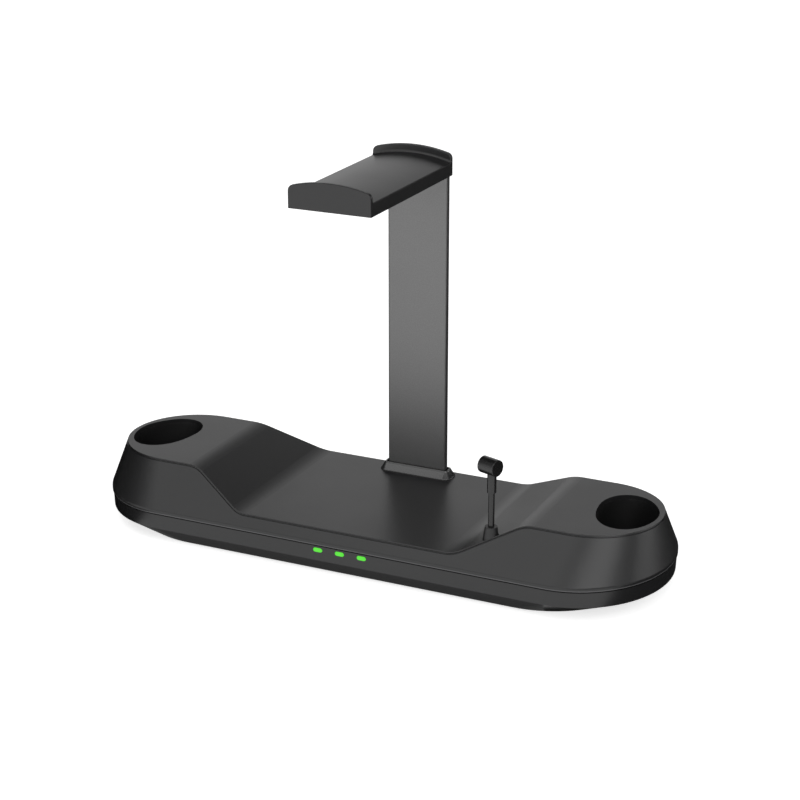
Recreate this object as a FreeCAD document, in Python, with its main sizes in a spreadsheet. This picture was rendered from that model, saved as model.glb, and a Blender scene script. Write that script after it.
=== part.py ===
import FreeCAD, Part
import math
import os
from types import SimpleNamespace

import Sketcher
from FreeCAD import Matrix, Placement, Rotation, Vector

# A charging stand for a virtual reality headset and its two hand controllers.
# A long low base carries an egg-shaped cup for a controller at each end, a
# flat upright with a cantilevered tray for the headset, and a short stiff
# lead with a round magnetic connector. Three lights shine on the front.
#
# Frame: X along the base, -Y towards the user, +Z up, millimetres. The
# origin is the middle of the base, on the surface that the feet stand on.

DIMENSIONS = (
    # Base outlines: a straight front and rear with half-ellipse ends
    ("base_length", 350.0, "widest outline, end to end"),
    ("base_depth", 120.0, "widest outline, front to rear"),
    ("shoulder_end", 53.4, "reach of a rounded end at the shoulder"),
    ("shoulder_height", 19.6, "widest outline above the sole"),
    ("shoulder_round", 1.6, "rounding between wall and skirt"),
    ("top_height", 43.3, "flat raised ends above the sole"),
    ("top_narrow_end", 7.1, "how far the wall leans in at an end"),
    ("top_narrow_side", 21.0, "how far the wall leans in at front and rear"),
    ("top_end", 39.7, "reach of a rounded end at the top"),
    ("parting_height", 17.6, "line between the two shells above the sole"),
    ("parting_gap", 0.4, "shadow line between the shells"),
    ("parting_step", 0.5, "lower shell set back from the upper one"),
    ("band_foot", 7.9, "upright band's lower edge above the sole"),
    ("band_draft", 0.4, "lean of the band over its height"),
    ("sole_narrow_end", 18.8, "sole inside the widest outline, at an end"),
    ("sole_narrow_side", 6.6, "sole inside the widest outline, at the front"),
    ("sole_end", 53.8, "reach of a rounded end at the sole"),
    ("wall", 2.2, "shell wall"),
    ("floor", 2.4, "lower shell's bottom"),
    ("tongue", 1.2, "thickness and height of the upper shell's register"),
    ("fit", 0.15, "clearance between pieces that slip together"),
    # Top cover: flat deck, two ramps and raised ends
    ("deck_height", 25.9, "deck above the sole"),
    ("ramp_in", 72.1, "top of a ramp from the base's end"),
    ("ramp_run", 35.6, "ramp along the base"),
    ("ramp_round", 21.5, "rounding at both ends of a ramp"),
    ("cover_sheet", 2.4, "top cover's thickness"),
    ("cover_lip", 0.5, "thin edge of the cover over the shell"),
    ("reveal", 0.7, "shadow line under the cover's edge"),
    ("reveal_depth", 0.6, "depth of that line"),
    # Controller cups
    ("cup_in", 27.7, "cup centre from the base's end"),
    ("cup_back", 1.4, "cup centre behind the middle"),
    ("cup_half_width", 17.3, "half of the cup's mouth along the base"),
    ("cup_half_depth", 24.7, "half of the cup's mouth across the base"),
    ("cup_egg", 0.5, "how much the mouth differs from an ellipse"),
    ("cup_lean", 10.5, "turn of the mouth, degrees"),
    ("cup_depth", 28.0, "cup below the raised end"),
    ("cup_wall", 1.4, "cup wall"),
    ("cup_floor", 3.0, "cup bottom"),
    ("cup_flange", 3.0, "weld flange round the cup's wall, under the cover"),
    ("cup_flange_thick", 1.6, "that flange's thickness"),
    # Upright and its foot
    ("bar_width", 37.2, "upright across"),
    ("bar_thick", 4.4, "upright's thickness"),
    ("bar_in", 16.25, "upright's front face from the base's rear"),
    ("bar_bend", 3.0, "inner radius of the bend at the top"),
    ("bar_round", 0.9, "rounding of the upright's long edges"),
    ("arm_length", 76.0, "arm inside the tray, from the upright's front"),
    ("ballast_over", 15.0, "steel plate beyond the case screws"),
    ("ballast_gap", 10.85, "steel plate clear of the main board"),
    ("ballast_thick", 4.0, "steel plate's thickness"),
    ("bracket_thick", 3.0, "foot bracket's thickness"),
    ("bracket_height", 13.0, "foot bracket's upright leg"),
    ("bracket_reach", 26.0, "foot bracket's lying leg"),
    ("bracket_bolt_apart", 22.0, "bolt spacing of the upright's foot"),
    # Collar at the foot of the upright
    ("collar_width", 46.4, "collar's foot, along the base"),
    ("collar_depth", 13.1, "collar's foot, across"),
    ("collar_height", 4.8, "collar above the deck"),
    ("collar_flange", 0.8, "thickness of the collar's foot"),
    ("collar_inset", 1.5, "neck of the collar inside its foot"),
    ("collar_recess", 1.1, "dark gap round the upright"),
    ("collar_recess_deep", 1.6, "depth of that gap"),
    ("collar_spigot", 1.3, "wall of the part that enters the deck"),
    # Headset tray
    ("tray_width", 48.8, "tray across"),
    ("tray_length", 105.5, "tray, front face to rear face"),
    ("tray_ahead", 5.25, "tray's rear face in front of the upright"),
    ("tray_bottom", 212.5, "tray's underside above the sole"),
    ("tray_side", 7.4, "side wall of the tray"),
    ("tray_arch", 3.6, "rise of the tray's top over its sides"),
    ("tray_lip", 2.6, "thickness of the end lips"),
    ("tray_lip_height", 4.8, "end lips above the tray's top"),
    ("tray_lip_round", 3.4, "rounding of the lips' upper corners"),
    ("tray_shell", 1.9, "wall of the tray"),
    ("tray_edge", 0.5, "small rounding of the lips"),
    ("tray_foot_round", 1.4, "hollow rounding at the foot of a lip"),
    ("tray_cover", 1.7, "plate that closes the tray from below"),
    # Lights
    ("light_height", 14.4, "lights above the sole"),
    ("light_apart", 13.65, "spacing of the lights"),
    ("light_width", 5.5, "light window across"),
    ("light_tall", 2.4, "light window's height"),
    ("light_flange", 1.2, "edge of a light window behind the wall"),
    ("light_length", 7.0, "light window, front to rear"),
    # Boards
    ("board_thick", 1.6, "circuit boards"),
    ("board_gap", 14.0, "main board clear of the case screws"),
    ("board_depth", 30.0, "main board, front to rear"),
    ("board_hole_in", 4.0, "screw holes from the board's corners"),
    ("lamp_size", 1.8, "light-emitting chips"),
    ("socket_gap", 4.0, "power board clear of the steel plate"),
    ("socket_width", 9.0, "power socket across"),
    ("socket_tall", 3.3, "power socket's height"),
    ("socket_length", 7.4, "power socket, front to rear"),
    ("socket_wall", 0.35, "power socket's steel wall"),
    ("socket_height", 12.5, "power socket's centre above the sole"),
    ("power_board_width", 26.0, "power board across"),
    ("power_board_depth", 22.0, "power board, front to rear"),
    # Contacts in the cups
    ("contact_width", 14.0, "contact block across"),
    ("contact_depth", 9.0, "contact block, front to rear"),
    ("contact_rise", 1.5, "contact block above the cup's floor"),
    ("contact_flange", 3.5, "edge of the contact block under the cup"),
    ("contact_pad", 2.2, "contact strip's width"),
    ("contact_pad_long", 5.0, "contact strip's length"),
    ("contact_apart", 5.0, "spacing of the two strips"),
    ("contact_metal", 0.4, "contact strip's thickness"),
    # Connector on its lead
    ("post_up", 17.2, "lead from the ramp's foot, along the base"),
    ("post_in", 17.5, "lead from the base's front"),
    ("boot_top", 40.5, "boot's top above the sole"),
    ("boot_top_wide", 6.9, "boot's diameter at the top"),
    ("boot_wide", 8.8, "boot's diameter at the cover"),
    ("boot_neck", 6.0, "boot's neck through the cover"),
    ("boot_flange", 12.0, "boot's hidden flange"),
    ("boot_flange_thick", 1.6, "boot's hidden flange, thickness"),
    ("boot_drop", 6.4, "flange below the cover's surface"),
    ("lead_wide", 3.5, "stiff lead's diameter"),
    ("sleeve_wide", 5.1, "sleeve's diameter"),
    ("sleeve_foot", 60.5, "sleeve's lower end above the sole"),
    ("sleeve_notch", 0.7, "notch in the sleeve"),
    ("head_height", 75.3, "connector head's axis above the sole"),
    ("head_wide", 9.4, "connector head's diameter"),
    ("head_long", 10.8, "connector head's length"),
    ("head_shift", 1.3, "head's middle beside the lead"),
    ("head_turn", 18.9, "head's turn towards the front, degrees"),
    ("head_edge", 0.35, "rounding of the head's rims"),
    ("magnet_wide", 7.6, "ring magnet's diameter"),
    ("magnet_long", 2.6, "ring magnet's length"),
    ("insert_wide", 3.2, "contact insert's diameter"),
    # Feet and screws
    ("foot_wide", 14.0, "rubber foot"),
    ("foot_seat", 1.0, "foot's recess in the sole"),
    ("foot_stand", 1.2, "sole above the table"),
    ("foot_in", 63.0, "feet from the base's end"),
    ("foot_edge", 26.0, "feet from the base's front and rear"),
    ("screw_wide", 3.0, "screw shank"),
    ("screw_head", 5.6, "screw head's diameter"),
    ("screw_head_tall", 2.0, "screw head's height"),
    ("flat_head_tall", 1.2, "flat screw head's height"),
    ("small_screw", 2.0, "board screw's shank"),
    ("small_head", 3.8, "board screw's head"),
    ("small_head_tall", 1.3, "board screw's head, height"),
    ("small_grip", 5.0, "board screw's length in its boss"),
    ("boss_wall", 2.0, "plastic round a screw"),
    ("case_screw_back", 7.3, "four case screws from the ramps' feet"),
    ("case_screw_edge", 19.0, "four case screws from the base's front and rear"),
    ("case_screw_in", 57.0, "two case screws from the base's ends"),
)

doc = FreeCAD.newDocument("charging_stand")
sheet = doc.addObject("Spreadsheet::Sheet", "sizes")
for row, (alias, number, meaning) in enumerate(DIMENSIONS, start=1):
    sheet.set(f"A{row}", str(number))
    sheet.setAlias(f"A{row}", alias)
    sheet.set(f"B{row}", meaning)
doc.recompute()


class Size:
    """A length or number with the sheet expression that it comes from."""

    def __init__(self, mm, text):
        self.mm = mm
        self.text = text

    def join(self, other, sign, mm):
        return Size(mm, f"({self.text} {sign} {other.text})")

    def __add__(self, other):
        other = as_size(other)
        return self.join(other, "+", self.mm + other.mm)

    def __sub__(self, other):
        other = as_size(other)
        return self.join(other, "-", self.mm - other.mm)

    def __mul__(self, other):
        other = as_size(other)
        return self.join(other, "*", self.mm * other.mm)

    def __truediv__(self, other):
        other = as_size(other)
        return self.join(other, "/", self.mm / other.mm)

    def __neg__(self):
        return Size(-self.mm, f"(0 - {self.text})")


def as_size(value):
    """A Size from a Size or a plain number."""
    if isinstance(value, Size):
        return value
    return Size(float(value), f"{float(value):.6f}")


s = SimpleNamespace(**{
    alias: Size(float(sheet.get(alias)), f"sizes.{alias}") for alias, _, _ in DIMENSIONS
})

# Heights above the table
z_sole = s.foot_stand
z_floor = z_sole + s.floor
z_band = z_sole + s.band_foot
z_parting = z_sole + s.parting_height
z_shoulder = z_sole + s.shoulder_height
z_deck = z_sole + s.deck_height
z_top = z_sole + s.top_height
z_under_deck = z_deck - s.cover_sheet
z_cup_rim = z_top - s.cover_sheet
z_cup = z_top - s.cup_depth
z_under_cup = z_cup - s.cup_floor
z_ballast = z_floor + s.ballast_thick
z_tray = z_sole + s.tray_bottom
z_arm = z_tray + s.tray_cover
z_light = z_sole + s.light_height
z_board = z_light - s.lamp_size / 2 - s.board_thick
z_socket = z_sole + s.socket_height
z_power_board = z_socket - s.socket_tall / 2 - s.board_thick

# Places along X, from the middle of the base
ramp_head = s.base_length / 2 - s.ramp_in
ramp_foot = ramp_head - s.ramp_run
cup_place = s.base_length / 2 - s.cup_in
foot_place = s.base_length / 2 - s.foot_in
post_place = ramp_foot + s.post_up
case_screw_place = ramp_foot - s.case_screw_back
case_screw_far = s.base_length / 2 - s.case_screw_in
board_width = (case_screw_place - s.board_gap) * 2
ballast_width = (case_screw_place + s.ballast_over) * 2
socket_place = ballast_width / 2 + s.socket_gap + s.power_board_width / 2

# Places along Y
post_row = s.post_in - s.base_depth / 2
foot_side = s.base_depth / 2 - s.foot_edge
case_screw_side = s.base_depth / 2 - s.case_screw_edge
bar_front = s.base_depth / 2 - s.bar_in
bar_rear = bar_front + s.bar_thick
bar_middle = bar_front + s.bar_thick / 2
tray_back = bar_front - s.tray_ahead
tray_front = tray_back - s.tray_length
band_front = s.base_depth / 2 - s.parting_step
light_front = -band_front
board_front = light_front + s.light_length + s.lamp_size
board_rear = board_front + s.board_depth
ballast_rear = bar_rear
ballast_front = board_rear + s.ballast_gap
ballast_depth = ballast_rear - ballast_front
bracket_front = bar_front - s.bracket_reach

SIDES = (("left", -1), ("right", 1))
CORNERS = (
    ("front_left", -1, -1), ("front_right", 1, -1), ("rear_left", -1, 1), ("rear_right", 1, 1),
)

parts = []


def keep(name, thing):
    """Name a finished piece and put it on the list of files."""
    thing.Label = name
    parts.append(thing)
    return thing


def feature(name, shape):
    """A piece whose shape comes straight from solid modelling functions."""
    thing = doc.addObject("Part::Feature", name)
    thing.Shape = shape
    return keep(name, thing)


# Sketch and body helpers


def new_body(name):
    body = doc.addObject("PartDesign::Body", name)
    return keep(name, body)


def place(thing, x=None, y=None, z=None):
    """Bind a piece's position to sizes."""
    for axis, size in (("x", x), ("y", y), ("z", z)):
        if size is not None:
            thing.setExpression(f"Placement.Base.{axis}", size.text)


def sketch_on(body, name, role, offset=None):
    """A sketch on one of the body's own origin planes, moved along its normal."""
    plane = next(f for f in body.Origin.OriginFeatures if f.Role == role)
    sketch = body.newObject("Sketcher::SketchObject", name)
    sketch.AttachmentSupport = (plane, [""])
    sketch.MapMode = "FlatFace"
    if offset is not None:
        sketch.setExpression("AttachmentOffset.Base.z", offset.text)
    return sketch


def bind(sketch, kind, where, size):
    """A dimension of the sketch that follows a size."""
    number = sketch.addConstraint(Sketcher.Constraint(kind, *where, size.mm))
    sketch.setExpression(f"Constraints[{number}]", size.text)


def arc_centre(start, end, radius, turn):
    """Centre of the arc from start to end; turn is 1 when it runs counter-clockwise."""
    chord = end - start
    across = Vector(-chord.y, chord.x, 0).normalize() * turn
    rise = math.sqrt(max(radius ** 2 - (chord.Length / 2) ** 2, 0.0))
    return (start + end) * 0.5 + across * rise


def add_outline(sketch, corners, arcs=None):
    """Close an outline through corners; arcs gives an edge's radius and turn."""
    arcs = arcs or {}
    corners = [(as_size(x), as_size(y)) for x, y in corners]
    points = [Vector(x.mm, y.mm, 0) for x, y in corners]
    ends = []
    for index, start in enumerate(points):
        end = points[(index + 1) % len(points)]
        if index not in arcs:
            number = sketch.addGeometry(Part.LineSegment(start, end), False)
            ends.append((number, 1, 2))
            continue
        radius, turn = arcs[index]
        centre = arc_centre(start, end, radius.mm, turn)
        first, last = (start, end) if turn > 0 else (end, start)
        begin = math.atan2(first.y - centre.y, first.x - centre.x)
        finish = math.atan2(last.y - centre.y, last.x - centre.x)
        if finish < begin:
            finish += 2 * math.pi
        circle = Part.Circle(centre, Vector(0, 0, 1), radius.mm)
        number = sketch.addGeometry(Part.ArcOfCircle(circle, begin, finish), False)
        ends.append((number, 1, 2) if turn > 0 else (number, 2, 1))
        bind(sketch, "Radius", (number,), radius)
    for index, (number, first, last) in enumerate(ends):
        before = ends[index - 1]
        sketch.addConstraint(Sketcher.Constraint("Coincident", before[0], before[2], number, first))
        bind(sketch, "DistanceX", (-1, 1, number, first), corners[index][0])
        bind(sketch, "DistanceY", (-1, 1, number, first), corners[index][1])


def add_rectangle(sketch, x, y, wide, deep):
    """A rectangle centred on x, y."""
    x, y = as_size(x), as_size(y)
    add_outline(sketch, (
        (x - wide / 2, y - deep / 2), (x + wide / 2, y - deep / 2),
        (x + wide / 2, y + deep / 2), (x - wide / 2, y + deep / 2),
    ))


def add_circle(sketch, x, y, diameter):
    """A circle centred on x, y."""
    x, y = as_size(x), as_size(y)
    circle = Part.Circle(Vector(x.mm, y.mm, 0), Vector(0, 0, 1), diameter.mm / 2)
    number = sketch.addGeometry(circle, False)
    bind(sketch, "Diameter", (number,), diameter)
    bind(sketch, "DistanceX", (-1, 1, number, 3), x)
    bind(sketch, "DistanceY", (-1, 1, number, 3), y)


def extrude(body, kind, sketch, length, reverse=False, symmetric=False):
    """A Pad or Pocket of the sketch."""
    step = body.newObject(f"PartDesign::{kind}", f"{sketch.Name}_{kind.lower()}")
    step.Profile = sketch
    step.setExpression("Length", length.text)
    step.Reversed = reverse
    if symmetric:
        step.SideType = "Symmetric"
    body.Tip = step
    return step


def pad(body, sketch, length, **options):
    return extrude(body, "Pad", sketch, length, **options)


def pocket(body, sketch, length, **options):
    return extrude(body, "Pocket", sketch, length, **options)


def revolve(body, sketch):
    """Turn the sketch about its vertical axis."""
    step = body.newObject("PartDesign::Revolution", f"{sketch.Name}_turned")
    step.Profile = sketch
    step.ReferenceAxis = (sketch, ["V_Axis"])
    step.Angle = 360
    body.Tip = step
    return step


def dress(body, kind, name, size, wanted):
    """A Fillet or Chamfer on the edges that wanted picks."""
    doc.recompute()
    base = body.Tip
    edges = [f"Edge{n}" for n, edge in enumerate(base.Shape.Edges, start=1) if wanted(edge)]
    step = body.newObject(f"PartDesign::{kind}", name)
    step.Base = (base, edges)
    step.setExpression("Radius" if kind == "Fillet" else "Size", size.text)
    body.Tip = step
    return step


def fillet(body, name, size, wanted):
    return dress(body, "Fillet", name, size, wanted)


def near(a, b, slack=0.01):
    return abs(a - b) < slack


def runs_along(edge, axis):
    """True for a straight edge along X, Y or Z."""
    if not isinstance(edge.Curve, Part.Line):
        return False
    return near(abs(getattr(edge.Curve.Direction, axis)), 1.0)


def at_depth(edge, places):
    """True for an edge that lies in an upright plane at one of the places along Y."""
    box = edge.BoundBox
    return any(near(box.YMin, y, 0.05) and near(box.YMax, y, 0.05) for y in places)


def at_height(edge, z):
    """True for an edge that lies in the level plane at z."""
    box = edge.BoundBox
    return near(box.ZMin, z) and near(box.ZMax, z)


# Solid modelling helpers for the moulded housing


def half_ellipse(reach, half_depth, x, z, side):
    """The rounded end of an outline, bulging towards side."""
    start = Vector(0, -side, 0)
    arc = Part.Arc(start, Vector(side, 0, 0), -start).toShape()
    stretch = Matrix()
    stretch.scale(reach, half_depth, 1)
    stretch.move(Vector(side * x, 0, z))
    return arc.transformGeometry(stretch)


def outline(half_length, half_depth, reach, z):
    """Level wire with a straight front and rear and half-ellipse ends."""
    x = half_length - reach
    return Part.Wire([
        Part.makeLine(Vector(-x, -half_depth, z), Vector(x, -half_depth, z)),
        half_ellipse(reach, half_depth, x, z, 1),
        Part.makeLine(Vector(x, half_depth, z), Vector(-x, half_depth, z)),
        half_ellipse(reach, half_depth, x, z, -1),
    ])


def widest(inset, z):
    return outline(
        s.base_length.mm / 2 - inset, s.base_depth.mm / 2 - inset, s.shoulder_end.mm - inset, z)


def topmost(inset, z):
    return outline(
        s.base_length.mm / 2 - s.top_narrow_end.mm - inset,
        s.base_depth.mm / 2 - s.top_narrow_side.mm - inset, s.top_end.mm - inset, z)


def sole(inset, z):
    return outline(
        s.base_length.mm / 2 - s.sole_narrow_end.mm - inset,
        s.base_depth.mm / 2 - s.sole_narrow_side.mm - inset, s.sole_end.mm - inset, z)


def between(lower, upper):
    """Solid with straight walls from one outline to another."""
    return Part.makeLoft([lower, upper], True, True)


def prism(inset, low, high):
    """Upright block of the widest outline, less inset."""
    return between(widest(inset, low), widest(inset, high))


def leaning_block(inset):
    """Block inside the leaning wall, from the shoulder to the top."""
    return between(widest(inset, z_shoulder.mm), topmost(inset, z_top.mm))


def below_top(drop):
    """All that lies lower than the top surface, itself lowered by drop."""
    top = z_top.mm - drop
    deck = z_deck.mm - drop
    foot, head, radius = ramp_foot.mm, ramp_head.mm, s.ramp_round.mm
    slope = math.atan2(top - deck, head - foot)
    reach = radius * math.tan(slope / 2)
    far = s.base_length.mm
    along = Vector(math.cos(slope), 0, math.sin(slope))
    crest = Vector(head, 0, top)
    valley = Vector(foot, 0, deck)
    swing = Vector(math.sin(slope / 2), 0, -math.cos(slope / 2)) * radius
    crest_centre = Vector(head + reach, 0, top - radius)
    valley_centre = Vector(foot - reach, 0, deck + radius)
    right = [
        Part.makeLine(Vector(far, 0, top), crest + Vector(reach, 0, 0)),
        Part.Arc(crest + Vector(reach, 0, 0), crest_centre - swing, crest - along * reach).toShape(),
        Part.makeLine(crest - along * reach, valley + along * reach),
        Part.Arc(valley + along * reach, valley_centre + swing, valley - Vector(reach, 0, 0)).toShape(),
    ]
    left = [edge.mirror(Vector(), Vector(1, 0, 0)) for edge in reversed(right)]
    middle = Part.makeLine(valley - Vector(reach, 0, 0), Vector(reach - foot, 0, deck))
    under = Part.makePolygon([
        Vector(-far, 0, top), Vector(-far, 0, -top), Vector(far, 0, -top), Vector(far, 0, top),
    ])
    edges = Part.__sortEdges__(right + [middle] + left + under.Edges)
    face = Part.Face(Part.Wire(edges))
    depth = s.base_depth.mm
    face.translate(Vector(0, -depth, 0))
    return face.extrude(Vector(0, 2 * depth, 0))


def surface_height(x):
    """Height of the top surface on a ramp's straight part."""
    slope = (s.top_height - s.deck_height) / (ramp_head - ramp_foot)
    return z_deck + slope * (x - ramp_foot)


def cup_outline(side, grow, z):
    """Egg-shaped mouth of a cup, as a smooth closed curve."""
    half_width, half_depth = s.cup_half_width.mm, s.cup_half_depth.mm
    points = []
    steps = 20
    for step in range(steps):
        turn = 2 * math.pi * step / steps
        radius = half_width * half_depth / math.hypot(
            half_depth * math.cos(turn), half_width * math.sin(turn))
        radius += s.cup_egg.mm * math.cos(3 * turn) + grow
        turn += math.radians(s.cup_lean.mm)
        points.append(Vector(
            side * (cup_place.mm + radius * math.cos(turn)),
            s.cup_back.mm + radius * math.sin(turn), z))
    curve = Part.BSplineCurve()
    curve.interpolate(Points=points, PeriodicFlag=True)
    return Part.Wire(curve.toShape())


def cup_block(side, grow, low, high):
    face = Part.Face(cup_outline(side, grow, low))
    return face.extrude(Vector(0, 0, high - low))


def block(x, y, wide, deep, low, high):
    """Box centred on x, y between two heights."""
    return Part.makeBox(wide, deep, high - low, Vector(x - wide / 2, y - deep / 2, low))


def rod(x, y, diameter, low, high):
    return Part.makeCylinder(diameter / 2, high - low, Vector(x, y, low))


def slot_block(x, z, wide, tall, rear, front):
    """Round-ended block along Y, centred on x, z."""
    radius = tall / 2
    flat = max(wide / 2 - radius, 0.01)
    edges = [
        Part.makeLine(Vector(x - flat, 0, z - radius), Vector(x + flat, 0, z - radius)),
        Part.Arc(Vector(x + flat, 0, z - radius), Vector(x + flat + radius, 0, z),
                 Vector(x + flat, 0, z + radius)).toShape(),
        Part.makeLine(Vector(x + flat, 0, z + radius), Vector(x - flat, 0, z + radius)),
        Part.Arc(Vector(x - flat, 0, z + radius), Vector(x - flat - radius, 0, z),
                 Vector(x - flat, 0, z - radius)).toShape(),
    ]
    face = Part.Face(Part.Wire(edges))
    face.translate(Vector(0, front, 0))
    return face.extrude(Vector(0, rear - front, 0))


def cut_all(shape, tools):
    for tool in tools:
        shape = shape.cut(tool)
    return shape


def fuse_all(shape, tools):
    return shape.fuse(tools)


# Places that several pieces share

case_screws = [
    (side * case_screw_place.mm, row * case_screw_side.mm) for side in (-1, 1) for row in (-1, 1)
] + [(side * case_screw_far.mm, 0.0) for side in (-1, 1)]

board_hole_x = board_width / 2 - s.board_hole_in
board_hole_rows = (board_front + s.board_hole_in, board_rear - s.board_hole_in)
board_screws = [(side * board_hole_x.mm, row.mm) for side in (-1, 1) for row in board_hole_rows]

power_board_rear = band_front - s.band_draft - s.wall - s.fit
power_board_middle = power_board_rear - s.power_board_depth / 2
power_screw_row = power_board_rear - s.power_board_depth + s.board_hole_in
power_screws = [
    (socket_place.mm + side * (s.power_board_width / 2 - s.board_hole_in).mm, power_screw_row.mm)
    for side in (-1, 1)
]

contact_screw_x = s.contact_width / 2 + s.contact_flange / 2

post = Vector(post_place.mm, post_row.mm, 0)
z_post = surface_height(post_place)
z_boot_flange = z_post - s.boot_drop

foot_bolts = [side * s.bracket_bolt_apart.mm / 2 for side in (-1, 1)]
foot_bolt_row = bar_front - s.bracket_reach / 2
wall_bolt_height = z_ballast + s.bracket_thick + (s.bracket_height - s.bracket_thick) / 2

pilot = s.screw_wide.mm * 0.85
small_pilot = s.small_screw.mm * 0.85
boss_wide = (s.screw_wide + s.boss_wall * 2).mm
small_boss_wide = (s.small_screw + s.boss_wall * 2).mm
z_boss = z_parting - s.tongue * 2


def build_lower_shell():
    """Lower half of the base: sole, slanted foot and upright band."""
    wall, high = s.wall.mm, z_parting.mm - s.parting_gap.mm
    top_inset = s.parting_step.mm
    foot_inset = top_inset + s.band_draft.mm
    outer = between(sole(0, z_sole.mm), widest(foot_inset, z_band.mm))
    outer = outer.fuse(between(widest(foot_inset, z_band.mm), widest(top_inset, high)))
    inner = between(sole(wall, z_floor.mm), widest(foot_inset + wall, z_band.mm + wall / 2))
    inner = inner.fuse(between(
        widest(foot_inset + wall, z_band.mm + wall / 2), widest(top_inset + wall, high)))
    shell = outer.cut(inner)
    bosses = [rod(x, y, boss_wide, z_floor.mm, z_boss.mm) for x, y in case_screws]
    bosses += [rod(x, y, small_boss_wide, z_floor.mm, z_board.mm) for x, y in board_screws]
    bosses += [rod(x, y, small_boss_wide, z_floor.mm, z_power_board.mm) for x, y in power_screws]
    shell = fuse_all(shell, bosses)
    tools = []
    head_room = s.screw_head.mm + 2 * s.fit.mm
    for x, y in case_screws:
        tools.append(rod(x, y, s.screw_wide.mm + 2 * s.fit.mm, z_sole.mm, z_boss.mm))
        tools.append(rod(x, y, head_room, z_sole.mm, z_floor.mm + s.screw_head_tall.mm))
    for x in foot_bolts:
        tools.append(rod(x, foot_bolt_row.mm, s.screw_wide.mm + 2 * s.fit.mm, z_sole.mm, z_floor.mm))
        tools.append(rod(x, foot_bolt_row.mm, head_room, z_sole.mm, z_sole.mm + s.screw_head_tall.mm))
    for x, y in board_screws:
        tools.append(rod(x, y, small_pilot, z_floor.mm, z_board.mm))
    for x, y in power_screws:
        tools.append(rod(x, y, small_pilot, z_floor.mm, z_power_board.mm))
    for _, side, row in CORNERS:
        x, y = side * foot_place.mm, row * foot_side.mm
        tools.append(rod(x, y, s.foot_wide.mm + 2 * s.fit.mm, z_sole.mm, z_sole.mm + s.foot_seat.mm))
    for number in (-1, 0, 1):
        tools.append(slot_block(
            number * s.light_apart.mm, z_light.mm, s.light_width.mm + 2 * s.fit.mm,
            s.light_tall.mm + 2 * s.fit.mm, 0.8 * light_front.mm, 1.1 * light_front.mm))
    tools.append(slot_block(
        socket_place.mm, z_socket.mm, s.socket_width.mm + 2 * s.fit.mm,
        s.socket_tall.mm + 2 * s.fit.mm, 1.1 * band_front.mm, 0.9 * band_front.mm))
    return cut_all(shell, tools)


def build_upper_shell():
    """Leaning side wall of the base, open above for the top cover."""
    wall = s.wall.mm
    outer = prism(0, z_parting.mm, z_shoulder.mm).fuse(leaning_block(0))
    shoulder = [edge for edge in outer.Edges if at_height(edge, z_shoulder.mm)]
    outer = outer.makeFillet(s.shoulder_round.mm, shoulder)
    inner = prism(wall, z_parting.mm, z_shoulder.mm).fuse(leaning_block(wall))
    shell = outer.cut(inner).common(below_top(s.cover_lip.mm))
    groove = leaning_block(-wall).cut(leaning_block(s.reveal_depth.mm))
    shell = shell.cut(groove.cut(below_top((s.cover_lip + s.reveal).mm)))
    tongue_out = (s.parting_step + s.wall + s.fit).mm
    tongue_in = tongue_out + s.tongue.mm
    low = z_parting.mm - s.parting_gap.mm - s.tongue.mm
    tongue = prism(tongue_out, low, z_parting.mm + s.tongue.mm)
    tongue = tongue.cut(prism(tongue_in, low, z_parting.mm + s.tongue.mm))
    ledge = prism(wall / 2, z_parting.mm, z_parting.mm + s.tongue.mm)
    ledge = ledge.cut(prism(tongue_in, z_parting.mm, z_parting.mm + s.tongue.mm))
    shell = fuse_all(shell, [tongue, ledge])
    tools = [cup_block(side, s.cup_wall.mm + s.fit.mm, z_floor.mm, z_top.mm) for _, side in SIDES]
    deep = 3 * (s.wall + s.tongue).mm
    wide = (s.power_board_width + s.boss_wall).mm
    tools.append(block(socket_place.mm, band_front.mm, wide, deep, low, z_parting.mm))
    tools.append(block(0, light_front.mm, 4 * s.light_apart.mm, deep, low, z_parting.mm))
    tools.append(rod(post.x, post.y, s.boot_neck.mm + 4 * s.fit.mm, z_boot_flange.mm, z_top.mm))
    return cut_all(shell, tools)


def build_top_cover():
    """Deck, ramps and raised ends in one moulded sheet, open over the two cups."""
    top = below_top(0)
    edge = leaning_block(0).common(top).cut(below_top(s.cover_lip.mm))
    plate = leaning_block(s.wall.mm + s.fit.mm).common(top).cut(below_top(s.cover_sheet.mm))
    posts = []
    for x, y in case_screws:
        posts.append(rod(x, y, boss_wide, z_boss.mm, z_top.mm).common(below_top(s.cover_lip.mm)))
    seat = rod(post.x, post.y, s.boot_flange.mm, z_boot_flange.mm, z_top.mm)
    posts.append(seat.common(below_top(s.cover_lip.mm)).common(leaning_block(s.wall.mm + s.fit.mm)))
    cover = fuse_all(edge, [plate] + posts)
    tools = [cup_block(side, 0, z_cup.mm, z_top.mm + s.cup_wall.mm) for _, side in SIDES]
    for x, y in case_screws:
        tools.append(rod(x, y, pilot, z_boss.mm, z_under_deck.mm))
    tools.append(rod(post.x, post.y, s.boot_neck.mm + 2 * s.fit.mm, z_boot_flange.mm, z_top.mm))
    wide = (s.bar_width + s.collar_spigot * 2 + s.fit * 4).mm
    deep = (s.bar_thick + s.collar_spigot * 2 + s.fit * 4).mm
    tools.append(block(0, bar_middle.mm, wide, deep, z_under_deck.mm, z_deck.mm))
    return cut_all(cover, tools)


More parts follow.
